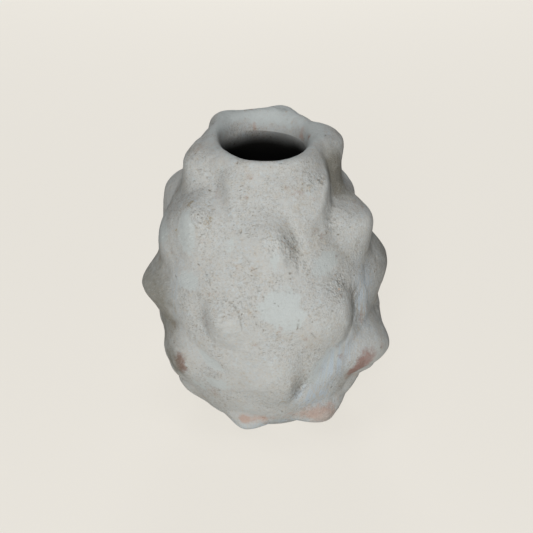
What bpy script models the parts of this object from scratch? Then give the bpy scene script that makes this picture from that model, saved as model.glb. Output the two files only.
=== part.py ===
"""An unglazed, hand-built clay jar with five staggered rows of knobs pressed on to its wall.

The jar is put together as a potter builds it: a flat base pad, four strips of wall scarfed one on to the
next, a rolled lip, and thirty lumps of clay luted to the outside. Thin gaps stand for the slip in the
joints. Metres, +Z up. The origin is the middle of the flat underside, and azimuth runs from the front (-Y)
to the right (+X).
"""

import math
from dataclasses import dataclass

import bmesh
import bpy
import numpy as np
from mathutils import Matrix, Vector

# Height to the top of the lip, and the levels at which the outside is measured, as shares of it.
HEIGHT = 0.1595
FOOT_SHARE = 0.069
LOWER_SHARE = 0.27
BELLY_SHARE = 0.476
SHOULDER_SHARE = 0.765
NECK_SHARE = 0.903
LIP_SHARE = 0.9655

# Outside radii of the plain wall at those levels.
BASE_RADIUS = 0.027
FOOT_RADIUS = 0.040
LOWER_RADIUS = 0.0545
BELLY_RADIUS = 0.0575
SHOULDER_RADIUS = 0.046
NECK_RADIUS = 0.035
LIP_RADIUS = 0.032
MOUTH_RADIUS = 0.0235

# Thicknesses and joints.
WALL = 0.008
PAD_EDGE = 0.009
FLOOR_THICKNESS = 0.010
SCARF = 0.004
SLIP_GAP = 0.0004
KNOB_SEAT_GAP = 0.00065
FEATHER_EDGE = 0.0006

# A knob's shape: the reach of a well-grown one, how round its tip is, as a share of its half width, and how
# fast its skirt thins out.
KNOB_REACH = 0.010
KNOB_TIP_SHARE = 0.45
KNOB_FALL = 1.5

# Hand-built irregularity: how far the mouth stands to the side of the base, how far its front dips below its
# back, the level where that dip begins, and how oval the body is.
MOUTH_SHIFT = -0.003
MOUTH_DIP = 0.0098
DIP_SHARE = 0.66
OVAL_SHARE = 0.012
OVAL_AZIMUTH = 60.0

# How far the lip's top leans in on one side of the mouth and out on the other, and where it leans in most.
LIP_LEAN_SHARE = 1.0
LIP_LEAN_AZIMUTH = -35.0
LEAN_SWELL_SHARE = 0.33

# Mesh fineness.
SEGMENTS = 48
OUTER_STEP = 0.0048
INNER_STEP = 0.0085
LIP_ARC_POINTS = 9
FLOOR_RINGS = (0.7, 0.35)
KNOB_SIDES = 16
KNOB_RINGS = (0.14, 0.30, 0.52, 0.76)
KNOB_SEAT_RINGS = (0.4, 0.72)
SHARP_ANGLE = 50.0

CLAY_GREY = (0.47, 0.475, 0.45)
CLAY_WARM = (0.44, 0.40, 0.36)
CLAY_ROUGHNESS = 0.9

LEVELS = HEIGHT * np.array(
    [0.0, FOOT_SHARE, LOWER_SHARE, BELLY_SHARE, SHOULDER_SHARE, NECK_SHARE, LIP_SHARE]
)
BASE_Z, FOOT_Z, LOWER_Z, BELLY_Z, SHOULDER_Z, NECK_Z, LIP_Z = (float(level) for level in LEVELS)
DIP_Z = HEIGHT * DIP_SHARE
LIP_MIDDLE = (LIP_RADIUS + MOUTH_RADIUS) / 2
LIP_HALF = (LIP_RADIUS - MOUTH_RADIUS) / 2
RADII = np.array(
    [BASE_RADIUS, FOOT_RADIUS, LOWER_RADIUS, BELLY_RADIUS, SHOULDER_RADIUS, NECK_RADIUS, LIP_RADIUS]
)


@dataclass
class Knob:
    """One lump of clay, at an azimuth in degrees, turned on the wall by some degrees.

    reach is a share of KNOB_REACH. The others are shares of its row's usual half width or half height: how
    far it sits above the row's level, and how far its skirt runs to the left, to the right, down and up.
    """

    azimuth: float
    above: float
    reach: float
    left: float = 1.0
    right: float = 1.0
    down: float = 1.0
    up: float = 1.0
    turn: float = 0.0


@dataclass
class KnobRow:
    """One row of knobs.

    spread is a knob's usual width as a share of the row's even spacing, tallness its height over its width,
    and lift the angle by which it points up.
    """

    name: str
    level: float
    spread: float
    tallness: float
    lift: float
    colour: tuple
    knobs: list


KNOB_ROWS = [
    KnobRow("foot_knob", FOOT_Z, 0.72, 0.8, 12.0, CLAY_WARM, [
        Knob(-19, -0.33, 0.50, left=0.95, down=0.50, up=1.15),
        Knob(44, -0.08, 0.70, left=1.15, right=1.05, down=0.75, up=1.2),
        Knob(97, 0.30, 0.70, left=1.2, right=1.1, down=0.95, up=1.3),
        Knob(164, 0.00, 0.60, left=1.1, right=1.2, down=0.80, up=1.2),
        Knob(-136, 0.00, 0.60, left=1.2, right=1.1, down=0.80, up=1.2),
        Knob(-78, 0.45, 0.45, left=1.2, right=1.25, down=1.05, up=1.0),
    ]),
    KnobRow("lower_knob", LOWER_Z, 0.63, 1.05, 0.0, CLAY_GREY, [
        Knob(-57, 0.00, 0.45, left=1.1, right=1.1, up=0.95),
        Knob(8, -0.05, 0.40, left=1.2, right=0.70, up=1.1),
        Knob(76, 0.10, 1.15, down=1.05),
        Knob(132, 0.00, 0.90),
        Knob(-170, -0.15, 0.90, down=0.95),
        Knob(-114, 0.05, 0.80),
    ]),
    KnobRow("belly_knob", BELLY_Z, 0.63, 1.05, 0.0, CLAY_GREY, [
        Knob(-88, -0.10, 0.85, left=0.95, down=0.90, up=0.90),
        Knob(-22, 0.00, 0.30, left=0.75, right=0.85, down=0.70, up=0.70),
        Knob(37, 0.05, 0.65, left=1.5, right=0.70),
        Knob(100, 0.35, 0.75, left=1.1, right=1.1, down=1.1),
        Knob(163, 0.10, 0.90, left=1.1),
        Knob(-146, 0.05, 0.90, right=1.1),
    ]),
    KnobRow("shoulder_knob", SHOULDER_Z, 0.62, 1.05, 0.0, CLAY_GREY, [
        Knob(-114, -0.40, 0.75, left=1.1, right=1.1, down=1.2, up=1.1),
        Knob(-47, 0.00, 0.60, left=1.2, down=1.2),
        Knob(7, -0.30, 0.55, left=1.2, right=0.65, down=1.1, up=1.1, turn=16),
        Knob(68, -0.38, 0.98, left=1.2, right=1.2, down=1.3, up=1.2),
        Knob(127, -0.25, 0.60, up=0.95),
        Knob(-173, 0.00, 0.90),
    ]),
    KnobRow("neck_knob", NECK_Z, 0.62, 1.12, 0.0, CLAY_GREY, [
        Knob(-80, 0.10, 0.60, left=1.2, right=1.2, up=0.85),
        Knob(-24, 0.00, 0.30, left=0.85, right=1.7, up=0.90),
        Knob(48, 0.00, 0.62, left=1.7, right=1.2, up=0.90),
        Knob(102, 0.40, 0.80, left=1.3, right=1.2, down=1.2, up=0.60),
        Knob(160, 0.40, 0.40, down=1.2, up=0.60),
        Knob(-138, 0.40, 0.50, down=1.2, up=0.60),
    ]),
]


def level_slopes():
    """Slope of the outside at each level: harmonic means, so no curve bulges past a level's radius."""
    rises = np.diff(LEVELS)
    chords = np.diff(RADII) / rises
    slopes = np.zeros(len(LEVELS))
    slopes[0] = chords[0]
    turning = chords[:-1] * chords[1:] > 0
    slopes[1:-1][turning] = 2 / (1 / chords[:-1][turning] + 1 / chords[1:][turning])
    return slopes


SLOPES = level_slopes()


def outer_radius(z):
    """Outside radius of the plain wall at a height: a cubic between each two levels."""
    z = min(max(z, BASE_Z), LIP_Z)
    i = min(int(np.searchsorted(LEVELS, z, side="right")) - 1, len(LEVELS) - 2)
    rise = LEVELS[i + 1] - LEVELS[i]
    t = (z - LEVELS[i]) / rise
    start = (1 + 2 * t) * (1 - t) ** 2 * RADII[i] + t * (1 - t) ** 2 * rise * SLOPES[i]
    end = t * t * (3 - 2 * t) * RADII[i + 1] + t * t * (t - 1) * rise * SLOPES[i + 1]
    return float(start + end)


def outer_slope(z):
    """How fast the outside radius grows with height."""
    small = 1e-5
    low = max(z - small, BASE_Z)
    high = min(z + small, LIP_Z)
    return (outer_radius(high) - outer_radius(low)) / (high - low)


def inner_point(z):
    """Radius and height of the inside of the wall, straight in from the outside at height z."""
    slope = outer_slope(z)
    length = math.hypot(1.0, slope)
    return outer_radius(z) - WALL / length, z + WALL * slope / length


def hand_shaped(azimuth, radius, z):
    """Moves a point of the true round jar to the oval, leaning one whose mouth dips. Azimuth in radians.

    Above the lip's level, heights are slanted across the lip, so that its top leans in or out.
    """
    oval = 1 + OVAL_SHARE * math.cos(2 * (azimuth - math.radians(OVAL_AZIMUTH)))
    near_lip = min(max((z - DIP_Z) / (LIP_Z - DIP_Z), 0.0), 1.0)
    forward = (1 + math.cos(azimuth)) / 2
    dip = MOUTH_DIP * forward * near_lip**2 * (3 - 2 * near_lip)
    x = radius * oval * math.sin(azimuth) + MOUTH_SHIFT * z / LIP_Z
    lean = LIP_LEAN_SHARE * math.cos(azimuth - math.radians(LIP_LEAN_AZIMUTH))
    slant = (1 - lean * (radius - LIP_MIDDLE) / LIP_HALF) / (1 + LEAN_SWELL_SHARE * lean**2)
    z = min(z, LIP_Z) + max(z - LIP_Z, 0.0) * slant
    return Vector((x, -radius * oval * math.cos(azimuth), z - dip))


def outside(azimuth, z):
    """Point of the wall's outside, its outward normal, and the direction up the wall."""
    small_turn, small_rise = 1e-3, 1e-4
    point = hand_shaped(azimuth, outer_radius(z), z)
    low, high = z - small_rise, z + small_rise
    up = hand_shaped(azimuth, outer_radius(high), high) - hand_shaped(azimuth, outer_radius(low), low)
    radius = outer_radius(z)
    round_it = hand_shaped(azimuth + small_turn, radius, z) - hand_shaped(azimuth - small_turn, radius, z)
    return point, round_it.cross(up).normalized(), up.normalized()


def clay(name, colour):
    material = bpy.data.materials.new(f"{name}_clay")
    material.use_nodes = True
    shader = material.node_tree.nodes["Principled BSDF"]
    shader.inputs["Base Color"].default_value = (*colour, 1.0)
    shader.inputs["Roughness"].default_value = CLAY_ROUGHNESS
    shader.inputs["Metallic"].default_value = 0.0
    return material


def turned(section, sides):
    """Spins a closed outline of (radius, height) points, listed anticlockwise, round the Z axis."""
    bm = bmesh.new()
    ring = [bm.verts.new((radius, 0.0, z)) for radius, z in section]
    edges = [bm.edges.new((a, b)) for a, b in zip(ring, ring[1:] + ring[:1])]
    bmesh.ops.spin(
        bm, geom=ring + edges, cent=(0, 0, 0), axis=(0, 0, 1), angle=math.tau, steps=sides, use_merge=True
    )
    bmesh.ops.remove_doubles(bm, verts=bm.verts, dist=1e-6)
    bmesh.ops.dissolve_degenerate(bm, dist=1e-7, edges=bm.edges)
    bmesh.ops.recalc_face_normals(bm, faces=bm.faces)
    return bm


def add_piece(name, bm, colour):
    mesh = bpy.data.meshes.new(name)
    bm.to_mesh(mesh)
    bm.free()
    mesh.shade_smooth()
    mesh.set_sharp_from_angle(angle=math.radians(SHARP_ANGLE))
    mesh.materials.append(clay(name, colour))
    piece = bpy.data.objects.new(name, mesh)
    bpy.context.scene.collection.objects.link(piece)
    return piece


def add_ring(name, section):
    """A band of the jar: its round section turned, then pushed to the hand-built shape."""
    bm = turned(section, SEGMENTS)
    for vert in bm.verts:
        azimuth = math.atan2(vert.co.x, -vert.co.y)
        vert.co = hand_shaped(azimuth, math.hypot(vert.co.x, vert.co.y), vert.co.z)
    return add_piece(name, bm, CLAY_GREY)


def heights(low, high, step):
    return np.linspace(low, high, max(2, math.ceil((high - low) / step) + 1))


def outer_points(low, high):
    return [(outer_radius(z), z) for z in heights(low, high, OUTER_STEP)]


def inner_points(low, high):
    return [inner_point(z) for z in heights(low, high, INNER_STEP)]


def add_base_pad():
    """The slab that the jar stands on, dished inside, with a scarfed edge for the first strip."""
    top = PAD_EDGE - SLIP_GAP / 2
    floor_radius, floor_edge = inner_point(top - SCARF)
    floor_z = FLOOR_THICKNESS
    dish = [(floor_radius * share, floor_z + (floor_edge - floor_z) * share**2) for share in FLOOR_RINGS]
    section = [(0.0, BASE_Z), (BASE_RADIUS / 2, BASE_Z)]
    section += outer_points(BASE_Z, top) + [(floor_radius, floor_edge)] + dish + [(0.0, floor_z)]
    add_ring("base_pad", section)


def add_wall_strip(name, low, high):
    """A strip of wall between two joints. Inside, both joints sit lower by the scarf."""
    low += SLIP_GAP / 2
    high -= SLIP_GAP / 2
    add_ring(name, outer_points(low, high) + inner_points(low - SCARF, high - SCARF)[::-1])


def add_lip_coil(low):
    """The rolled lip: the outside runs on from the neck, over a round crown and down to the throat."""
    low += SLIP_GAP / 2
    turns = np.linspace(0, math.pi, LIP_ARC_POINTS)[1:]
    rise = HEIGHT - LIP_Z
    crown = [(LIP_MIDDLE + LIP_HALF * math.cos(turn), LIP_Z + rise * math.sin(turn)) for turn in turns]
    add_ring("lip_coil", outer_points(low, LIP_Z) + crown + [inner_point(low - SCARF)])


def knob_height(rho):
    """Share of a knob's reach at a distance from its middle: a round tip on a skirt that thins out."""
    blunt = math.sqrt(min(rho, 1.0) ** 2 * (1 - KNOB_TIP_SHARE**2) + KNOB_TIP_SHARE**2)
    return ((1 - blunt) / (1 - KNOB_TIP_SHARE)) ** KNOB_FALL


def add_knob(row, number, knob):
    """A lump of clay pressed on to the wall, on a thin feathered edge, its underside shaped by the wall."""
    azimuth = math.radians(knob.azimuth)
    half_turn = row.spread * math.pi / len(row.knobs)
    half_width = half_turn * outer_radius(row.level)
    half_height = row.tallness * half_width
    level = row.level + knob.above * half_height
    _, normal, up = outside(azimuth, level)
    lift = math.radians(row.lift)
    aim = normal * math.cos(lift) + up * math.sin(lift)
    lean = Matrix.Rotation(math.radians(knob.turn), 2)

    top_side, seat_side = 1.0, -1.0
    section = [(0.0, seat_side)] + [(share, seat_side) for share in KNOB_SEAT_RINGS] + [(1.0, seat_side)]
    section += [(1.0, top_side)] + [(share, top_side) for share in KNOB_RINGS[::-1]] + [(0.0, top_side)]
    bm = turned(section, KNOB_SIDES)
    for vert in bm.verts:
        across, along, side = vert.co
        skirt = Vector((
            across * half_width * (knob.right if across > 0 else knob.left),
            along * half_height * (knob.up if along > 0 else knob.down),
        ))
        skirt.rotate(lean)
        turn_by = skirt.x / outer_radius(level)
        climb = skirt.y / math.hypot(1.0, outer_slope(level))
        seat, out, _ = outside(azimuth + turn_by, level + climb)
        vert.co = seat + out * KNOB_SEAT_GAP
        if side > 0:
            reach = KNOB_REACH * knob.reach * knob_height(math.hypot(across, along))
            vert.co += out * FEATHER_EDGE + aim * reach
    add_piece(f"{row.name}_{number}", bm, row.colour)


def build():
    for leftover in list(bpy.data.objects):
        bpy.data.objects.remove(leftover)

    joints = [
        PAD_EDGE,
        (LOWER_Z + BELLY_Z) / 2,
        (BELLY_Z + SHOULDER_Z) / 2,
        (SHOULDER_Z + NECK_Z) / 2,
        (NECK_Z + LIP_Z) / 2,
    ]
    add_base_pad()
    strips = ("lower_wall", "belly_wall", "shoulder_wall", "neck_collar")
    for name, low, high in zip(strips, joints, joints[1:]):
        add_wall_strip(name, low, high)
    add_lip_coil(joints[-1])
    for row in KNOB_ROWS:
        for number, knob in enumerate(row.knobs, start=1):
            add_knob(row, number, knob)


build()
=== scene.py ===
"""The looks of an unglazed, hand-built clay jar with staggered rows of knobs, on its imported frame.

Metres, +Z up. Azimuth runs from the front (-Y) to the right (+X).
"""

import math

import bpy
import numpy as np
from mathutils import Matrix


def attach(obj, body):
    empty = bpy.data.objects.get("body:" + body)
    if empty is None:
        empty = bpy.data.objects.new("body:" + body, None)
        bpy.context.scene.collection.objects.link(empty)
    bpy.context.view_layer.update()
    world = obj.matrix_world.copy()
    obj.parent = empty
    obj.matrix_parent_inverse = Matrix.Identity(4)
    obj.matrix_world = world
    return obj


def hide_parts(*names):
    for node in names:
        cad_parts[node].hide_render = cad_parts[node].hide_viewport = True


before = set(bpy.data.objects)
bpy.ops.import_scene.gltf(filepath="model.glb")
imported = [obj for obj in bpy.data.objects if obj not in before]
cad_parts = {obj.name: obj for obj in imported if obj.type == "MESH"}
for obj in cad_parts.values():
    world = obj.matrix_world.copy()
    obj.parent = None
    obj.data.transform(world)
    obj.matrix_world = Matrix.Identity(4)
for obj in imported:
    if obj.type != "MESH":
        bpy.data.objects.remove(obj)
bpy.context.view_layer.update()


# The base pad: a flat round of coarse grey clay, patted out by hand, that the jar stands on.
# Its edge turns up into the wall. The wall's own shape starts here: its section, the lumps that swell it,
# and the marks of the fingers that smoothed it.

# The levels of the wall, from the base to the lip's edge, and its radius at each.
HEIGHT = 0.1595
LEVELS = HEIGHT * np.array([0.0, 0.069, 0.27, 0.476, 0.765, 0.903, 0.9655])
RADII = np.array([0.027, 0.040, 0.0545, 0.0575, 0.046, 0.035, 0.032])
FOOT_Z, LOWER_Z, BELLY_Z, SHOULDER_Z, NECK_Z, LIP_Z = LEVELS[1:]
# The lip's crown and mouth, the wall's thickness, and the depth over which the inside narrows to the mouth.
LIP_CROWN = HEIGHT - LIP_Z
MOUTH_RADIUS, MOUTH_OVAL = 0.0225, 0.04
CROWN_START = math.radians(25)
WALL, THROAT = 0.0085, 0.022
# How the jar strays from a true round: its mouth lies to the left, its lip dips, and its wall is oval.
MOUTH_SHIFT = -0.003
FRONT_DIP, BACK_DIP, DIP_START = 0.0078, 0.0010, 0.105
OVAL, OVAL_AZIMUTH = 0.012, math.radians(60)


def level_slopes():
    """Slope of the outside at each level: the harmonic mean of the chords beside it, or flat at a turn."""
    chords = np.diff(RADII) / np.diff(LEVELS)
    slopes = np.zeros(len(LEVELS))
    slopes[0], slopes[-1] = chords[0], chords[-1]
    onward = chords[:-1] * chords[1:] > 0
    slopes[1:-1][onward] = 2 / (1 / chords[:-1][onward] + 1 / chords[1:][onward])
    return slopes


SLOPES = level_slopes()


def outer_radius(z):
    """Radius of the bare wall at height z: a cubic between each two levels, with their radii and slopes."""
    z = np.clip(z, 0.0, LIP_Z)
    i = np.clip(np.searchsorted(LEVELS, z, side="right") - 1, 0, len(LEVELS) - 2)
    rise = LEVELS[i + 1] - LEVELS[i]
    t = (z - LEVELS[i]) / rise
    start = (1 + 2 * t) * (1 - t) ** 2 * RADII[i] + t * (1 - t) ** 2 * rise * SLOPES[i]
    end = t * t * (3 - 2 * t) * RADII[i + 1] + t * t * (t - 1) * rise * SLOPES[i + 1]
    return start + end


NUDGE = 1e-4


def steepness(z):
    """Length up the wall for each unit of height: the root of 1 plus the slope squared."""
    return np.hypot(1.0, (outer_radius(z + NUDGE) - outer_radius(z - NUDGE)) / (2 * NUDGE))


def eased(share):
    """A smooth step: 3 times the share squared less twice its cube, with the share held from 0 to 1."""
    share = np.clip(share, 0.0, 1.0)
    return share**2 * (3 - 2 * share)


def hand_shaped(azimuth, radius, z):
    """Puts a point of a true round jar on this one.

    An oval twice round, a lean that grows with height, and a dip of the neck and mouth towards the front.
    """
    oval = radius * (1 + OVAL * np.cos(2 * (azimuth - OVAL_AZIMUTH)))
    x = oval * np.sin(azimuth) + MOUTH_SHIFT * z / LIP_Z
    y = -oval * np.cos(azimuth)
    dip = (FRONT_DIP + BACK_DIP + (FRONT_DIP - BACK_DIP) * np.cos(azimuth)) / 2
    return np.stack([x, y, z - dip * eased((z - DIP_START) / (LIP_Z - DIP_START))], -1)


def throat(azimuth):
    """Radius of the mouth where the crown ends: an oval, narrower from side to side."""
    return MOUTH_RADIUS * (1 + MOUTH_OVAL * np.cos(2 * azimuth))


# The way over the lip's crown, and the parts of its top's lean: inwards at both sides and outwards between
# them, inwards at the left and outwards at the right, and inwards at the back and outwards at the front.
CROWN_SPAN = (math.pi - CROWN_START) * ((RADII[-1] - MOUTH_RADIUS) / 2 + LIP_CROWN) / 2
LEAN_BOTH_SIDES, LEAN_LEFT, LEAN_BACK = 0.25, 0.2, 0.1


def crown_height(azimuth, turn):
    """Height of the lip's crown above its level, for a turn from its outer edge to half a turn at the throat.

    The sine of the turn, which is shifted by a share of its own sine. That moves the top outwards at the
    front and inwards at the left. The rise is measured from the outer edge.
    """
    lean = -LEAN_BOTH_SIDES * np.cos(2 * azimuth) - LEAN_LEFT * np.sin(azimuth) - LEAN_BACK * np.cos(azimuth)
    start = np.sin(CROWN_START - lean * math.sin(CROWN_START))
    return LIP_CROWN * (np.sin(turn - lean * np.sin(turn)) - start) / (1 - start)


def bare_wall(azimuth, s):
    """Point of the smooth wall. s is the height up the outside, then the way over the lip's crown."""
    turn = CROWN_START + np.clip((s - LIP_Z) / CROWN_SPAN, 0.0, 1.0) * (math.pi - CROWN_START)
    over = s > LIP_Z
    share = (1 + np.cos(turn)) / (1 + math.cos(CROWN_START))
    radius = np.where(over, throat(azimuth) + (RADII[-1] - throat(azimuth)) * share, outer_radius(s))
    return hand_shaped(azimuth, radius, np.where(over, LIP_Z + crown_height(azimuth, turn), s))


def wall_frame(azimuth, s):
    """Outward and upward unit vectors of the smooth wall, from the differences to points close by."""
    up = bare_wall(azimuth, s + NUDGE) - bare_wall(azimuth, np.maximum(s - NUDGE, 0.0))
    along = bare_wall(azimuth + NUDGE, s) - bare_wall(azimuth - NUDGE, s)
    out = np.cross(along, up)
    out /= np.linalg.norm(out, axis=-1, keepdims=True)
    return out, up / np.linalg.norm(up, axis=-1, keepdims=True)


# Each row: its level, how far its knobs point upwards in degrees, and its knobs. Each knob: azimuth in
# degrees, height above its row's level, reach, how far its skirt runs to the left, to the right, down and up,
# how far it is turned on the wall in degrees, and how blunt its tip is.
KNOB_ROWS = {
    "foot_knob": (FOOT_Z, 12.0, [
        (-19, -0.004, 0.0050, 0.014, 0.016, 0.008, 0.014, 0, 0.35),
        (44, -0.001, 0.0070, 0.018, 0.016, 0.010, 0.015, 0, 0.50),
        (97, 0.0036, 0.0070, 0.018, 0.017, 0.0115, 0.0155, 0, 0.45),
        (164, 0.000, 0.0060, 0.018, 0.020, 0.012, 0.016, 0, 0.45),
        (-136, 0.000, 0.0060, 0.020, 0.018, 0.012, 0.016, 0, 0.40),
        (-78, 0.006, 0.0045, 0.020, 0.022, 0.014, 0.016, 0, 0.45),
    ]),
    "lower_knob": (LOWER_Z, 0.0, [
        (-57, 0.000, 0.0045, 0.022, 0.022, 0.022, 0.020, 0, 0.50),
        (8, -0.001, 0.0040, 0.024, 0.012, 0.022, 0.026, 0, 0.45),
        (73, 0.002, 0.0120, 0.028, 0.020, 0.0175, 0.020, 0, 0.50),
        (132, 0.000, 0.0090, 0.022, 0.020, 0.022, 0.022, 0, 0.40),
        (-170, -0.003, 0.0090, 0.020, 0.022, 0.020, 0.024, 0, 0.45),
        (-114, 0.001, 0.0080, 0.022, 0.022, 0.023, 0.022, 0, 0.40),
    ]),
    "belly_knob": (BELLY_Z, 0.0, [
        (-82, 0.000, 0.0088, 0.018, 0.034, 0.018, 0.018, 0, 0.28),
        (-22, -0.001, 0.0037, 0.014, 0.017, 0.015, 0.015, 0, 0.60),
        (37, 0.001, 0.0065, 0.034, 0.013, 0.022, 0.022, 0, 0.60),
        (93, 0.009, 0.0070, 0.032, 0.024, 0.025, 0.020, 0, 0.50),
        (163, 0.002, 0.0090, 0.024, 0.022, 0.023, 0.022, 0, 0.40),
        (-146, 0.001, 0.0090, 0.022, 0.024, 0.021, 0.023, 0, 0.45),
    ]),
    "shoulder_knob": (SHOULDER_Z, 0.0, [
        (-114, -0.006, 0.0075, 0.020, 0.020, 0.022, 0.020, 0, 0.45),
        (-47, 0.000, 0.0060, 0.024, 0.018, 0.026, 0.022, 0, 0.50),
        (7, -0.005, 0.0052, 0.022, 0.011, 0.022, 0.022, 9, 0.35),
        (68, -0.006, 0.0098, 0.020, 0.020, 0.024, 0.020, 0, 0.45),
        (127, -0.004, 0.0060, 0.020, 0.021, 0.020, 0.018, 0, 0.40),
        (-173, 0.000, 0.0090, 0.021, 0.019, 0.020, 0.021, 0, 0.45),
    ]),
    "neck_knob": (NECK_Z, 0.0, [
        (-80, 0.002, 0.0060, 0.018, 0.018, 0.018, 0.015, 0, 0.55),
        (-24, 0.000, 0.0030, 0.012, 0.030, 0.022, 0.018, 0, 0.55),
        (46, -0.003, 0.0064, 0.030, 0.0105, 0.030, 0.021, -32, 0.30),
        (102, 0.0072, 0.0085, 0.020, 0.014, 0.020, 0.013, 0, 0.45),
        (160, 0.009, 0.0045, 0.012, 0.012, 0.016, 0.013, 0, 0.35),
        (-138, 0.009, 0.0058, 0.012, 0.012, 0.016, 0.013, 0, 0.35),
    ]),
}
# The power by which a knob falls to its edge, and the lump's share of the skirt and of the reach.
KNOB_FALL = 1.5
LUMP_SHARE, LUMP_BODY = 0.62, 0.8
WHOLE, LUMP = 0, 1


def offsets(azimuth, s, degrees, level, turn):
    """Distances along the wall from a point of it, to the right and up, in axes turned to the left."""
    around = np.remainder(azimuth - math.radians(degrees) + math.pi, 2 * math.pi) - math.pi
    across, along = around * float(outer_radius(level)), (s - level) * float(steepness(level))
    c, n = math.cos(math.radians(turn)), math.sin(math.radians(turn))
    return across * c + along * n, along * c - across * n


def knob_swell(azimuth, s, level, knob):
    """Height of a knob on the wall, and of the lump alone.

    The distance from the tip is measured in skirts, which differ to each side. The knob is a blunted cone to
    a power, so its tip is round and its skirt thins to nothing. The lump is a bell within the skirt's middle.
    """
    degrees, above, reach, left, right, down, rise, turn, tip = knob
    across, along = offsets(azimuth, s, degrees, level + above, turn)
    rho = np.hypot(across / np.where(across > 0, right, left), along / np.where(along > 0, rise, down))
    blunt = np.sqrt(np.minimum(rho, 1.0) ** 2 * (1 - tip**2) + tip**2)
    whole = reach * ((1 - blunt) / (1 - tip)) ** KNOB_FALL
    lump = reach * LUMP_BODY * np.maximum(0.0, 1 - (rho / LUMP_SHARE) ** 2) ** 2
    return whole, lump


# Marks left by fingers and tools: azimuth in degrees, height, half width, half length, turn in degrees and
# depth. A negative depth is a hollow.
FINGER_MARKS = [
    (-38, 0.140, 0.010, 0.020, 26, -0.0013),
    (77, 0.147, 0.010, 0.018, 0, 0.0012),
    (64, 0.130, 0.012, 0.018, 0, -0.0016),
    (-83, 0.107, 0.024, 0.022, 0, 0.0016),
    (60, 0.0165, 0.014, 0.010, 0, 0.0024),
    (68, 0.0240, 0.011, 0.009, 0, 0.0022),
    (70, 0.0320, 0.011, 0.007, 0, 0.0024),
    (-66, 0.0310, 0.011, 0.008, 0, 0.0018),
    (108, 0.1200, 0.012, 0.009, 0, 0.0018),
    (-72, 0.040, 0.012, 0.012, 0, 0.0018),
    (90, 0.058, 0.014, 0.010, 0, 0.0036),
    (54, 0.074, 0.009, 0.020, 8, -0.0018),
    (17, 0.116, 0.009, 0.020, 10, -0.0010),
    (18, 0.037, 0.007, 0.015, 0, -0.0014),
    (-36, 0.073, 0.010, 0.018, 10, -0.0016),
    (-22, 0.0575, 0.008, 0.018, 70, -0.0010),
    (29, 0.041, 0.010, 0.028, -35, -0.0012),
    (-72, 0.110, 0.018, 0.026, 0, 0.0026),
]


def mark(azimuth, s, degrees, level, half_width, half_length, turn, depth):
    """A smooth oval dent or ridge: depth times (1 - rho squared) squared, in axes turned on the wall."""
    across, along = offsets(azimuth, s, degrees, level, turn)
    rho2 = (across / half_width) ** 2 + (along / half_length) ** 2
    return depth * np.maximum(0.0, 1 - rho2) ** 2


# Large odd numbers that scramble a cube's place and a seed into a random value, and a seed's shift in cubes.
PLACE_KEYS = np.array([73856093, 19349663, 83492791])
SEED_KEY, SCRAMBLE_KEY = 49979693, 1274126177
SEED_SHIFT = 7.3


def lumpiness(points, wavelength, seed):
    """Smooth random heights from -1 to 1: hashed values at the corners of cubes, with a quintic fade."""
    cell = points / wavelength + SEED_SHIFT * seed
    low = np.floor(cell).astype(np.int64)
    t = cell - low
    t = t * t * t * (t * (t * 6 - 15) + 10)
    total = np.zeros(points.shape[:-1])
    for corner in range(8):
        step = np.array([corner & 1, corner >> 1 & 1, corner >> 2 & 1])
        key = ((low + step) * PLACE_KEYS).sum(-1) + seed * SEED_KEY
        key = (key ^ key >> 13) * SCRAMBLE_KEY
        value = (key ^ key >> 16 & 65535) % 65536 / 32767.5 - 1
        total += value * np.prod(np.where(step, t, 1 - t), -1)
    return total


# Unevenness from the hands, and in the crumbled patches: wavelength, depth and seed. A patch is an oval like
# a finger mark, with a strength in place of the depth.
HAND_LUMPS = [(0.030, 0.0008, 1), (0.012, 0.00035, 2), (0.0045, 0.00016, 3), (0.002, 0.00006, 4)]
CRUMB_SIZE, CRUMB_DEPTH, CRUMB_SEED = 0.0018, 0.0005, 6
CRUMBLED_PATCHES = [
    (39, 0.091, 0.011, 0.010, 20, 1.0),
    (16, 0.115, 0.009, 0.019, 10, 0.9),
    (4, 0.117, 0.008, 0.012, 0, 0.7),
    (18, 0.035, 0.009, 0.015, -20, 1.0),
    (50, 0.078, 0.009, 0.018, 0, 0.9),
    (24, 0.104, 0.010, 0.006, 20, 0.5),
    (-39, 0.126, 0.009, 0.012, 0, 0.4),
    (40, 0.146, 0.012, 0.008, 0, 0.8),
    (46, 0.125, 0.006, 0.012, 0, 0.7),
    (-18, 0.030, 0.018, 0.006, 20, 0.4),
]


def crumbled(azimuth, s):
    """How crumbled the clay is: the sum of the patches, each with its strength in the middle."""
    return sum(mark(azimuth, s, *patch) for patch in CRUMBLED_PATCHES)


def knob_field(azimuth, s, part):
    """Sum over all the knobs of one part of their heights: the whole, or the lump alone."""
    return sum(
        knob_swell(azimuth, s, level, knob)[part] for level, _, knobs in KNOB_ROWS.values() for knob in knobs
    )


def handwork(azimuth, s):
    """Height of the finger marks, the crumbs and the unevenness, which dies away at the base and throat."""
    points = bare_wall(azimuth, s)
    uneven = sum(depth * lumpiness(points, size, seed) for size, depth, seed in HAND_LUMPS)
    marks = sum(mark(azimuth, s, *finger) for finger in FINGER_MARKS)
    marks = marks + CRUMB_DEPTH * crumbled(azimuth, s) * lumpiness(points, CRUMB_SIZE, CRUMB_SEED)
    ends = np.clip(s / FOOT_Z, 0.0, 1.0) * np.clip((LIP_Z + CROWN_SPAN - s) / LIP_CROWN, 0.0, 1.0)
    return marks + uneven * ends


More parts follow.
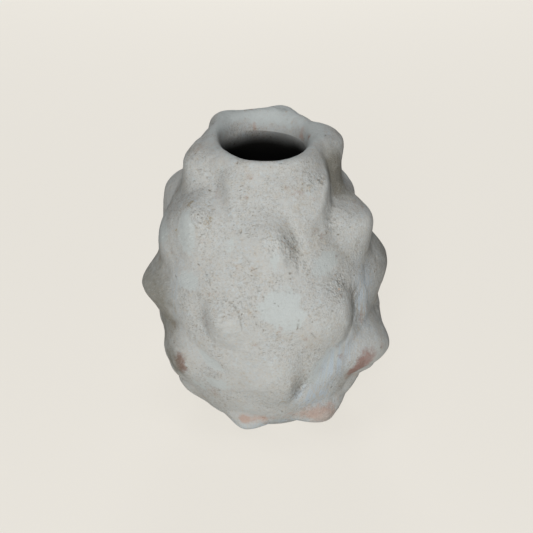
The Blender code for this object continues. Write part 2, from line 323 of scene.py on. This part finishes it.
def lifted(azimuth, s):
    """How far the rows whose knobs point upwards pull the clay up the wall."""
    return sum(
        math.tan(math.radians(lift)) * knob_swell(azimuth, s, level, knob)[WHOLE]
        for level, lift, knobs in KNOB_ROWS.values() if lift for knob in knobs
    )


def clay_skin(azimuth, s, below):
    """Point of the finished outside, or so far below it.

    The bare wall, moved outwards by the handwork and by the knobs. On the crown the knobs still push
    sideways, as on the wall under it, so that they widen the lip.
    """
    out, up = wall_frame(azimuth, s)
    sideways, _ = wall_frame(azimuth, np.minimum(s, LIP_Z))
    knobs = knob_field(azimuth, s, WHOLE) - below
    point = bare_wall(azimuth, s) + sideways * knobs[..., None]
    point += out * handwork(azimuth, s)[..., None] + up * lifted(azimuth, s)[..., None]
    point[..., 2] = np.maximum(point[..., 2], 0.0)
    return point


HOLLOW_REACH = 0.0035
MILLIMETRES = 1000


def hollowness(azimuth, s):
    """How far a point lies below the clay around it, in millimetres: four neighbours' mean less itself."""
    turn = HOLLOW_REACH / outer_radius(s)
    around = 0.0
    for across, along in ((turn, 0.0), (-turn, 0.0), (0.0, HOLLOW_REACH), (0.0, -HOLLOW_REACH)):
        height = np.maximum(s + along, 0.0)
        around = around + knob_field(azimuth + across, height, WHOLE) + handwork(azimuth + across, height)
    return (around / 4 - knob_field(azimuth, s, WHOLE) - handwork(azimuth, s)) * MILLIMETRES


# Stains from the fire and the ground, each an oval: azimuth in degrees, height, half width, half length, turn
# in degrees and strength. Rust is red-brown, ember orange, ochre yellow-brown, and smears bluish white. Chalk
# is bluish white, with one painted highlight among its patches. Grime is dark: partly real grime, partly
# painted shade on the sides that turn from the lamp and in creases.
STAINS = {
    "rust": [
        (56, 0.0420, 0.0075, 0.016, -6, 1.0),
        (-52, 0.044, 0.006, 0.011, 20, 0.75),
        (-55, 0.039, 0.009, 0.009, 0, 0.35),
        (-38, 0.138, 0.005, 0.018, 26, 0.28),
        (-33, 0.073, 0.005, 0.010, 0, 0.25),
    ],
    "ember": [
        (-17.5, 0.0125, 0.0050, 0.0032, 0, 0.8),
        (-14, 0.0130, 0.016, 0.008, 0, 0.60),
        (-8, 0.013, 0.014, 0.006, 0, 0.45),
        (36, 0.0135, 0.026, 0.011, 0, 1.2),
        (118, 0.166, 0.009, 0.006, 0, 1.0),
        (-168, 0.167, 0.003, 0.003, 0, 0.7),
        (72, 0.046, 0.008, 0.008, 0, 0.35),
    ],
    "ochre": [
        (-38, 0.1265, 0.0024, 0.010, 8, 0.7),
        (-34.5, 0.1235, 0.0016, 0.008, 4, 0.7),
        (-41, 0.1330, 0.0060, 0.004, 0, 0.6),
        (-53, 0.1295, 0.0022, 0.004, 0, 1.1),
        (-57, 0.1135, 0.0020, 0.002, 0, 1.1),
        (11, 0.0285, 0.009, 0.010, 0, 0.6),
        (40, 0.145, 0.012, 0.006, 0, 0.45),
        (3, 0.122, 0.005, 0.009, 0, 0.5),
    ],
    # Chalk: real bluish-white patches, and one painted highlight.
    "chalk_and_painted_highlight": [
        (4, 0.085, 0.014, 0.015, 0, 1.1),
        (12, 0.083, 0.014, 0.019, 0, 1.0),
        (-44, 0.092, 0.012, 0.009, 20, 1.0),
        (-48, 0.117, 0.008, 0.020, 10, 1.0),
        (-76, 0.108, 0.016, 0.014, 10, 1.0),
        (32, 0.047, 0.013, 0.022, -30, 1.0),
        (5, 0.109, 0.004, 0.010, 0, 1.0),
        (-20, 0.114, 0.013, 0.013, 0, 0.5),
        (34, 0.103, 0.013, 0.009, 20, 0.9),
        (-12, 0.017, 0.011, 0.008, 0, 0.6),
        # A painted highlight along a ridge low on the left.
        (-31, 0.049, 0.015, 0.005, -35, 1.0),
        (-30, 0.036, 0.013, 0.006, 0, 0.9),
        (-46, 0.030, 0.010, 0.010, 0, 0.7),
        (10, 0.006, 0.026, 0.009, 0, 1.3),
        (150, 0.162, 0.200, 0.008, 0, 0.8),
    ],
    "smear": [
        (60, 0.078, 0.016, 0.030, 0, 0.9),
        (40, 0.046, 0.016, 0.026, -30, 0.9),
        (-54, 0.080, 0.008, 0.026, 0, 0.5),
        (28, 0.026, 0.026, 0.014, -25, 0.9),
        (4, 0.007, 0.040, 0.008, 0, 1.0),
    ],
    # Grime: partly real dark grime, partly painted shade on the left and right sides, which turn from the
    # lamp, and in creases by the knobs.
    "grime_and_painted_shade": [
        (-92, 0.070, 0.066, 0.052, 0, 0.62),
        (-76, 0.062, 0.026, 0.054, 0, 0.25),
        (-61, 0.071, 0.018, 0.040, 0, 0.32),
        (-84, 0.130, 0.016, 0.012, 0, 0.4),
        (-56, 0.040, 0.012, 0.016, 0, 0.9),
        (98, 0.088, 0.034, 0.040, 0, 0.7),
        (46, 0.104, 0.026, 0.030, 0, 0.35),
        (74, 0.142, 0.014, 0.024, 0, 1.4),
        (52, 0.075, 0.008, 0.016, 0, 0.4),
        (17, 0.116, 0.006, 0.016, 10, 0.45),
    ],
}

# Drying cracks, each a path of points on the wall: azimuth in degrees and height.
CRACKS = [
    [(-22, 0.0880), (-16.5, 0.0860), (-14, 0.0825), (-12.5, 0.0790), (-12, 0.0735)],
    [(4, 0.0945), (6.5, 0.0930)],
    [(15.5, 0.0790), (15, 0.0745)],
    [(21, 0.0720), (24, 0.0680)],
    [(-13, 0.1115), (-10, 0.1085), (-8.5, 0.1070)],
    [(-35, 0.1000), (-31, 0.0965), (-30, 0.0930)],
]
CRACK_HALF = 0.0005


def cracked(azimuth, s):
    """1 along the middle of each crack, falling to 0 at its half width, by the distance to its stretches."""
    deepest = np.zeros(s.shape)
    for path in CRACKS:
        for (degrees, level), (next_degrees, next_level) in zip(path, path[1:]):
            across, along = offsets(azimuth, s, degrees, level, 0.0)
            right, up = offsets(math.radians(next_degrees), next_level, degrees, level, 0.0)
            share = np.clip((across * right + along * up) / (right**2 + up**2), 0.0, 1.0)
            away = np.hypot(across - share * right, along - share * up)
            deepest = np.maximum(deepest, 1 - away / CRACK_HALF)
    return deepest


def outside_marks(azimuth, s):
    """What the clay's material reads at each point outside: its shape's marks and each of its stains."""
    marks = {"hollow": hollowness(azimuth, s), "crack": cracked(azimuth, s), "rough": crumbled(azimuth, s)}
    marks["soot_and_painted_shade"] = np.zeros(s.shape)
    for stain, patches in STAINS.items():
        marks[stain] = sum(mark(azimuth, s, *patch) for patch in patches)
    return marks


def with_inside(marks, before, after):
    """The same marks with rows of the inside before and after them, which have the black of soot and painted
    shade alone.
    """
    return {
        label: np.concatenate([before * (label == "soot_and_painted_shade"), values, after * (label == "soot_and_painted_shade")])
        for label, values in marks.items()
    }


def inside_wall(azimuth, z):
    """Point of the inside: the bare wall, moved in by its thickness and drawn in to the crown's end."""
    plain = outer_radius(z) - WALL * steepness(z)
    near_lip = 1 - (LIP_Z + crown_height(azimuth, math.pi) - z) / THROAT
    return hand_shaped(azimuth, plain + (throat(azimuth) - plain) * eased(near_lip), z)


def grid_faces(rows, columns, poles):
    """Quads and triangles between rows of points, which join up in a ring or end in a point at both poles."""
    index = np.arange(rows * columns).reshape(rows, columns)
    following = np.roll(index, -1, axis=1)
    if not poles:
        above, above_after = np.roll(index, -1, axis=0), np.roll(following, -1, axis=0)
        return np.stack([index, following, above_after, above], -1).reshape(-1, 4), np.zeros((0, 3), int)
    body, after = index[1:-1], following[1:-1]
    first, last = np.full(columns, index[0, 0]), np.full(columns, index[-1, 0])
    caps = [np.stack([first, after[0], body[0]], -1), np.stack([body[-1], after[-1], last], -1)]
    quads = np.stack([body[:-1], after[:-1], after[1:], body[1:]], -1).reshape(-1, 4)
    return quads, np.concatenate(caps)


SHARP_ANGLE = math.radians(60)


def add_skin(name, grid, marks, poles, node):
    """A closed mesh from rows of points round the jar, with its marks as attributes, in place of a node."""
    rows, columns = grid.shape[:2]
    quads, triangles = grid_faces(rows, columns, poles)
    used, corners = np.unique(np.concatenate([quads.ravel(), triangles.ravel()]), return_inverse=True)
    sizes = np.concatenate([np.full(len(quads), 4), np.full(len(triangles), 3)])
    mesh = bpy.data.meshes.new(name)
    mesh.vertices.add(len(used))
    mesh.vertices.foreach_set("co", grid.reshape(-1, 3)[used].astype(np.float32).ravel())
    mesh.loops.add(len(corners))
    mesh.loops.foreach_set("vertex_index", corners.astype(np.int32))
    mesh.polygons.add(len(sizes))
    mesh.polygons.foreach_set("loop_start", (np.cumsum(sizes) - sizes).astype(np.int32))
    mesh.polygons.foreach_set("use_smooth", np.ones(len(sizes), bool))
    mesh.update(calc_edges=True)
    mesh.set_sharp_from_angle(angle=SHARP_ANGLE)
    for label, values in marks.items():
        values = np.broadcast_to(values, (rows, columns)).ravel()[used]
        mesh.attributes.new(label, "FLOAT", "POINT").data.foreach_set("value", values.astype(np.float32))
    mesh.materials.append(grey_clay)
    piece = bpy.data.objects.new(f"{name}_skin", mesh)
    bpy.context.scene.collection.objects.link(piece)
    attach(piece, "root")
    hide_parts(node)


class Shade:
    """One value in a material, so that its maths is written as plain sums that add Math nodes."""

    def __init__(self, tree, socket):
        self.tree, self.socket = tree, socket

    def add(self, kind, settings, values, output=0):
        """A new node of that kind. Settings come first, then each input socket gets its value or its link."""
        node = self.tree.nodes.new(kind)
        for key, value in settings.items():
            setattr(node, key, value)
        for key, value in values.items():
            if isinstance(value, Shade):
                self.tree.links.new(value.socket, node.inputs[key])
            else:
                node.inputs[key].default_value = value
        return Shade(self.tree, node.outputs[output])

    def sum(self, operation, *values):
        """A Math node that takes these values."""
        return self.add("ShaderNodeMath", {"operation": operation}, dict(enumerate(values)))

    def __add__(self, other):
        return self.sum("ADD", self, other)

    def __sub__(self, other):
        return self.sum("SUBTRACT", self, other)

    def __rsub__(self, other):
        return self.sum("SUBTRACT", other, self)

    def __mul__(self, other):
        return self.sum("MULTIPLY", self, other)

    __radd__, __rmul__ = __add__, __mul__

    def between(self, low, high):
        """0 below low, 1 above high, and a smooth step between. With low above high it falls."""
        settings = {"interpolation_type": "SMOOTHSTEP", "clamp": True}
        return self.add("ShaderNodeMapRange", settings, {0: self, 1: low, 2: high})

    def streaks(self, turn, width, length):
        """Soft random values about 0.5, drawn out along one direction of the clay."""
        values = {"Vector": self, "Rotation": turn, "Scale": (width, width, length)}
        return self.add("ShaderNodeMapping", {"vector_type": "TEXTURE"}, values).noise(1.0, 1.0)

    def noise(self, wavelength, detail=2.0, roughness=0.5):
        """Soft random values about 0.5, from this place in the clay."""
        values = {"Vector": self, "Scale": 1 / wavelength, "Detail": detail, "Roughness": roughness}
        return self.add("ShaderNodeTexNoise", {}, values)

    def tint(self, colour, share, ground):
        """The ground's colour, turned towards another by a share.

        A Mix node's sockets share their names, so those for colours go by number.
        """
        values = {0: share, 6: ground, 7: colour}
        return self.add("ShaderNodeMix", {"data_type": "RGBA"}, values, 2)


def srgb(red, green, blue):
    """A colour as seen on a screen, 0 to 255, as light: the screen's curve undone."""
    share = np.array([red, green, blue]) / 255
    light = np.where(share < 0.04045, share / 12.92, ((share + 0.055) / 1.055) ** 2.4)
    return (*light.tolist(), 1.0)


# The directions in which the bits of straw lie in the clay.
FIBRE_TURNS = [(0.3, 1.1, 0.2), (1.4, 0.5, 1.0), (0.9, 2.1, 2.2), (2.3, 1.5, 0.6)]


def clay_material(name):
    """Fired clay: grey-white, patchy, specked with straw and grit, stained, with painted shade in its hollows
    and on its sides, and black inside with soot and painted shade.

    Each layer is a colour, and the share by which it tints what lies under it.
    """
    material = bpy.data.materials.new(name)
    material.use_nodes = True
    tree = material.node_tree
    shader = tree.nodes["Principled BSDF"]
    place = Shade(tree, tree.nodes.new("ShaderNodeTexCoord").outputs["Object"])

    def mark_of(label):
        """The values of one mark, which add_skin gave to the mesh."""
        return place.add("ShaderNodeAttribute", {"attribute_name": label}, {}, "Fac")

    patch = place.noise(0.03, 3.0, 0.55)
    cloud = place.noise(0.012, 4.0, 0.6)
    mottle = place.noise(0.0035, 3.0, 0.6)
    warmth = place.noise(0.004, 4.0, 0.8)
    tone = place.noise(0.0012, 2.0, 0.6)
    grain = place.noise(0.0013, 3.0, 0.65)
    hollow, rough, smeared = mark_of("hollow"), mark_of("rough"), mark_of("smear")

    ragged = (cloud - 0.5) * 1.6 + (mottle - 0.5) * 1.2
    # The chalk's share: real chalk patches, and one painted highlight.
    chalk_and_painted_highlight = (mark_of("chalk_and_painted_highlight") + patch.between(0.5, 0.7) * 0.3 + ragged).between(0.3, 0.65)
    smear = smeared * place.streaks((0.1, 0.05, 0.0), 0.0012, 0.022).between(0.35, 0.65)
    ochre = (mark_of("ochre") + ragged + (tone - 0.5) * 2.4).between(0.4, 1.0)
    ember = (mark_of("ember") + ragged * 1.2).between(0.3, 1.1)
    rust = (mark_of("rust") + ragged).between(0.15, 0.9)
    # The grime's share: partly real grime, partly painted shade.
    grime_and_painted_shade = (mark_of("grime_and_painted_shade") + ragged * 0.5).between(0.1, 1.1)
    bare = 1 - chalk_and_painted_highlight * 0.75
    gritty = (0.35 + place.noise(0.022, 2.0).between(0.4, 0.62) * 0.65) * bare * (1 - smeared * 0.5)
    crumbs = place.streaks((0.0, -0.8, 0.0), 0.0006, 0.0018) * 0.6 + grain * 0.4
    fibres = sum(place.streaks(turn, 0.0005, 0.0034).between(0.68, 0.78) for turn in FIBRE_TURNS) * gritty
    scratches = place.streaks((0.9, 0.4, 0.8), 0.0005, 0.014).between(0.5, 0.8)
    specks = (place.noise(0.0024, 1.0) + (grain - 0.5) * 0.4).between(0.74, 0.84)
    crack = mark_of("crack") * grain.between(0.3, 0.6)

    layers = [
        # The clay's own warm, cool and pale patches.
        (srgb(180, 174, 162), cloud.between(0.5, 0.75) * bare * 0.5),
        (srgb(186, 173, 155), warmth.between(0.52, 0.78) * bare * 0.5),
        (srgb(190, 203, 210), warmth.between(0.48, 0.22) * bare * 0.6),
        (srgb(192, 180, 162), tone.between(0.52, 0.8) * bare * 0.5),
        (srgb(188, 200, 208), tone.between(0.48, 0.2) * bare * 0.5),
        (srgb(205, 207, 204), mottle.between(0.5, 0.75) * 0.35),
        # Stains. The chalk holds one painted highlight, and the grime is partly painted shade.
        (srgb(190, 199, 199), chalk_and_painted_highlight * 0.5),
        (srgb(186, 198, 208), smear),
        (srgb(158, 142, 110), ochre * 0.65),
        (srgb(184, 148, 130), ember * 0.65),
        (srgb(146, 108, 98), rust * 0.85),
        (srgb(108, 103, 88), grime_and_painted_shade * 0.75),
        # Painted shade in the hollows, darker the deeper they lie, and wear on what stands out.
        (srgb(128, 121, 108), hollow.between(0.15, 1.4) * 0.4),
        (srgb(206, 209, 206), hollow.between(-0.1, -0.9) * 0.35),
        # Grit, and the dark, pale and red crumbs of the rough patches.
        (srgb(136, 129, 117), grain.between(0.45, 0.8) * gritty * 0.6),
        (srgb(96, 91, 78), crumbs.between(0.5, 0.62) * rough * 0.6),
        (srgb(212, 209, 198), crumbs.between(0.42, 0.32) * rough * 0.5),
        (srgb(178, 138, 112), (tone + rough * 0.08).between(0.7, 0.8) * rough * 0.7),
        # Straw, scratches, specks, cracks, and the black inside: soot, and painted shade in the throat.
        (srgb(114, 100, 78), fibres * 0.55),
        (srgb(208, 210, 208), scratches * 0.25),
        (srgb(104, 95, 78), specks * 0.48),
        (srgb(112, 104, 90), crack * 0.7),
        (srgb(12, 10, 7), mark_of("soot_and_painted_shade")),
    ]
    colour = srgb(189, 190, 187)
    for layer, share in layers:
        colour = place.tint(layer, share, colour)
    tree.links.new(colour.socket, shader.inputs["Base Color"])

    roughness = 0.84 + grain * 0.12
    tree.links.new(roughness.socket, shader.inputs["Roughness"])
    raised = grain * gritty * 0.9 + mottle * 0.9 + cloud * 0.8
    cut = specks * 0.8 + fibres * 0.5 + scratches * 0.3 + crumbs * rough * 2.5
    bump = place.add("ShaderNodeBump", {}, {"Strength": 0.8, "Distance": 0.0005, "Height": raised - cut})
    tree.links.new(bump.socket, shader.inputs["Normal"])
    shader.inputs["Specular IOR Level"].default_value = 0.25
    return material


grey_clay = clay_material("grey_clay")

# The columns of every skin round the jar, and the rows' step up it.
COLUMNS = 600
ROUND = np.arange(COLUMNS) / COLUMNS * 2 * math.pi - math.pi
STEP_UP = 0.0006
# The pad's edge and floor, the drop of each scarfed joint, and the rows of the underside and of the dish.
PAD_EDGE, FLOOR_THICKNESS, SCARF = 0.009, 0.010, 0.004
UNDER_SHARES = np.array([0.0, 0.3, 0.6, 0.85, 0.97])[:, None, None]
DISH_SHARES = np.array([1.0, 0.75, 0.5, 0.25, 0.0])[:, None, None]


def fine_rows(low, high, step=STEP_UP):
    """Heights from low to high, evenly spaced, no further apart than the step."""
    return np.linspace(low, high, max(2, math.ceil((high - low) / step) + 1))


def outside_rows(rows):
    """The grid of the outside at these heights, without the knobs' lumps, and its marks."""
    azimuth, s = np.meshgrid(ROUND, rows)
    return clay_skin(azimuth, s, knob_field(azimuth, s, LUMP)), outside_marks(azimuth, s)


def add_base_pad():
    """Rows run from the underside's middle out to the edge, up the outside, and in over the dished floor."""
    rim, marks = outside_rows(fine_rows(0.0, PAD_EDGE))
    under = rim[:1] * UNDER_SHARES
    seam = inside_wall(ROUND, np.full(COLUMNS, PAD_EDGE - SCARF))[None]
    middle = np.array([0.0, 0.0, FLOOR_THICKNESS])
    dish = middle + (seam - middle) * DISH_SHARES
    marks = with_inside(marks, np.zeros((len(under), COLUMNS)), np.ones((len(dish), COLUMNS)))
    add_skin("base_pad", np.concatenate([under, rim, dish]), marks, True, "base_pad")


add_base_pad()


# The wall: four strips of clay, each laid on the scarfed edge of the one below and smoothed over, so that no
# seam shows outside. Inside they are left rough and are painted black below the lip, partly soot from the
# fire and partly painted shade.
STRIP_JOINTS = [
    PAD_EDGE,
    (LOWER_Z + BELLY_Z) / 2,
    (BELLY_Z + SHOULDER_Z) / 2,
    (SHOULDER_Z + NECK_Z) / 2,
    (NECK_Z + LIP_Z) / 2,
]
INSIDE_STEP = 0.002
# The depths below the lip where the black of soot and painted shade starts and is full, and the lumps of its
# uneven edge.
SOOT_AND_SHADE_START, SOOT_AND_SHADE_FULL = 0.0025, 0.0135
SOOT_AND_SHADE_EDGE_SIZE, SOOT_AND_SHADE_EDGE_DEPTH, SOOT_AND_SHADE_EDGE_SEED = 0.012, 0.0015, 5


def inside_rows(z):
    """The grid of the inside at these heights, and its black of soot and painted shade.

    None at the lip and full so far below it, with an uneven edge: 1 less the square of the share to go.
    """
    points = inside_wall(np.broadcast_to(ROUND, z.shape), z)
    depth = LIP_Z - z + SOOT_AND_SHADE_EDGE_DEPTH * lumpiness(points, SOOT_AND_SHADE_EDGE_SIZE, SOOT_AND_SHADE_EDGE_SEED)
    to_go = 1 - np.clip((depth - SOOT_AND_SHADE_START) / (SOOT_AND_SHADE_FULL - SOOT_AND_SHADE_START), 0.0, 1.0)
    return points, 1 - to_go**2


for strip, low, high in zip(
    ("lower_wall", "belly_wall", "shoulder_wall", "neck_collar"), STRIP_JOINTS, STRIP_JOINTS[1:]
):
    outer, strip_marks = outside_rows(fine_rows(low, high))
    rows = fine_rows(low - SCARF, high - SCARF, INSIDE_STEP)[::-1, None]
    inner, soot_and_painted_shade = inside_rows(np.repeat(rows, COLUMNS, axis=1))
    strip_marks = with_inside(strip_marks, np.zeros((0, COLUMNS)), soot_and_painted_shade)
    add_skin(strip, np.concatenate([outer, inner]), strip_marks, False, strip)


# The lip: a coil of the same clay, rolled over the neck's edge and thumbed round and soft. Its inner edge
# narrows to the throat, where the black of soot and painted shade begins.
CROWN_STEP = 0.0005
THROAT_ROWS = 12


def add_lip():
    """Rows run up the outside, over the crown and down the throat. The black of soot and painted shade
    deepens on the way down.
    """
    outer, marks = outside_rows(fine_rows(STRIP_JOINTS[-1], LIP_Z + CROWN_SPAN, CROWN_STEP))
    top, low = LIP_Z + crown_height(ROUND, math.pi), STRIP_JOINTS[-1] - SCARF
    inner, soot_and_painted_shade = inside_rows(top + (low - top) * np.linspace(0, 1, THROAT_ROWS)[1:, None])
    marks = with_inside(marks, np.zeros((0, COLUMNS)), soot_and_painted_shade)
    add_skin("lip_coil", np.concatenate([outer, inner]), marks, False, "lip_coil")


add_lip()


# The knobs: lumps of clay pressed on in five staggered rows and drawn to a blunt tip between the fingers.
# Each one's edge is smeared into the wall, so it is sunk a hair under the wall's skin.
KNOB_COLUMNS, KNOB_RINGS, SEAT_RINGS = 112, 40, 6
# How deep a knob's edge is sunk, from which share of the way out, and how deep its seat lies.
EDGE_SINK, SINK_START, SEAT_DEPTH = 0.00006, 0.8, 0.0012


def add_knob(name, level, knob):
    """A disc round the tip, as far out as the lump goes, with its underside just below the wall's skin."""
    degrees, above, _, left, right, down, rise, lean, _ = knob
    middle = level + above
    turn = -np.arange(KNOB_COLUMNS) / KNOB_COLUMNS * 2 * math.pi
    c, n = math.cos(math.radians(lean)), math.sin(math.radians(lean))
    shares = np.concatenate([np.linspace(0, 1, KNOB_RINGS), np.linspace(1, 0, SEAT_RINGS)])[:, None]
    across = LUMP_SHARE * np.cos(turn) * np.where(np.cos(turn) > 0, right, left)
    along = LUMP_SHARE * np.sin(turn) * np.where(np.sin(turn) > 0, rise, down)
    azimuth = math.radians(degrees) + shares * (across * c - along * n) / outer_radius(middle)
    s = middle + shares * (along * c + across * n) / steepness(middle)
    below = EDGE_SINK * eased((shares - SINK_START) / (1 - SINK_START)) + np.zeros(s.shape)
    below[KNOB_RINGS:] = SEAT_DEPTH + knob_swell(azimuth, s, level, knob)[LUMP][KNOB_RINGS:]
    s = np.maximum(s, 0.0)
    add_skin(name, clay_skin(azimuth, s, below), outside_marks(azimuth, s), True, name)


for row, (level, _, knobs) in KNOB_ROWS.items():
    for number, knob in enumerate(knobs, start=1):
        add_knob(f"{row}_{number}", level, knob)


# The stage: a pale floor, a broad soft lamp in front and a little to the left, weaker ones above and behind,
# and a dim, even sky. The camera sees the floor brighter than it lights the jar.
FLOOR_REACH = 6
PAPER, PAPER_GLOW = srgb(214, 211, 204), srgb(76, 75, 73)
SEEN_PAPER, SEEN_GLOW = srgb(118, 116, 112), srgb(217, 213, 205)
SKY, SKY_STRENGTH = (0.95, 0.97, 1.0, 1.0), 0.09
floor_corners = [(x * FLOOR_REACH, y * FLOOR_REACH, 0) for x, y in ((-1, -1), (1, -1), (1, 1), (-1, 1))]
floor_mesh = bpy.data.meshes.new("floor")
floor_mesh.from_pydata(floor_corners, [], [(0, 1, 2, 3)])
floor = bpy.data.objects.new("floor", floor_mesh)
bpy.context.scene.collection.objects.link(floor)
paper = bpy.data.materials.new("paper")
paper.use_nodes = True
paper_shader = paper.node_tree.nodes["Principled BSDF"]
paper_shader.inputs["Roughness"].default_value = 1.0
paper_shader.inputs["Specular IOR Level"].default_value = 0.0
paper_shader.inputs["Emission Strength"].default_value = 1.0
seen = Shade(paper.node_tree, paper.node_tree.nodes.new("ShaderNodeLightPath").outputs["Is Camera Ray"])
lit = seen.tint(SEEN_PAPER, seen, PAPER)
glow = seen.tint(SEEN_GLOW, seen, PAPER_GLOW)
paper.node_tree.links.new(lit.socket, paper_shader.inputs["Base Color"])
paper.node_tree.links.new(glow.socket, paper_shader.inputs["Emission Color"])
floor_mesh.materials.append(paper)

world = bpy.data.worlds.new("studio")
world.use_nodes = True
world.node_tree.nodes["Background"].inputs["Color"].default_value = SKY
world.node_tree.nodes["Background"].inputs["Strength"].default_value = SKY_STRENGTH
bpy.context.scene.world = world


def add_lamp(name, place, target, width, height, watts):
    """A lamp at a place, turned to face a target: its local -Z axis points from one to the other."""
    lamp = bpy.data.lights.new(name, "AREA")
    lamp.shape = "RECTANGLE"
    lamp.size, lamp.size_y = width, height
    lamp.energy = watts
    holder = bpy.data.objects.new(name, lamp)
    holder.location = place
    away = np.array(place) - np.array(target)
    flat = math.hypot(away[0], away[1])
    holder.rotation_euler = (math.atan2(flat, away[2]), 0.0, math.atan2(away[0], -away[1]))
    bpy.context.scene.collection.objects.link(holder)


add_lamp("front_lamp", (-0.13, -1.45, 0.52), (0.0, 0.0, 0.08), 0.4, 1.0, 17.5)
add_lamp("top_lamp", (-0.1, -0.2, 1.4), (0.0, 0.0, 0.1), 0.5, 0.5, 2.5)
add_lamp("back_lamp", (0.0, 1.5, 0.45), (0.0, 0.0, 0.08), 0.5, 0.8, 11.0)

# The camera: in front, looking down at the jar by 26 degrees through a long lens. A pixel's size on the jar,
# and the pixel where the middle of the base lies, set its distance and its place.
CAMERA_TILT = math.radians(26)
PIXEL = 0.00055
BASE_PIXEL = (269.0, 398.0)
IMAGE = 533
camera_data = bpy.data.cameras.new("camera")
camera_data.lens = 100.0
camera_data.sensor_width = 36.0
camera = bpy.data.objects.new("camera", camera_data)
distance = PIXEL * IMAGE * camera_data.lens / camera_data.sensor_width
sideways = -(BASE_PIXEL[0] - IMAGE / 2) * PIXEL
upwards = (BASE_PIXEL[1] - IMAGE / 2) * PIXEL
camera.location = (
    sideways,
    upwards * math.sin(CAMERA_TILT) - distance * math.cos(CAMERA_TILT),
    upwards * math.cos(CAMERA_TILT) + distance * math.sin(CAMERA_TILT),
)
camera.rotation_euler = (math.pi / 2 - CAMERA_TILT, 0.0, 0.0)
camera_data.clip_start, camera_data.clip_end = 0.05, 50.0
bpy.context.scene.collection.objects.link(camera)
bpy.context.scene.camera = camera
bpy.context.scene.view_settings.view_transform = "Standard"
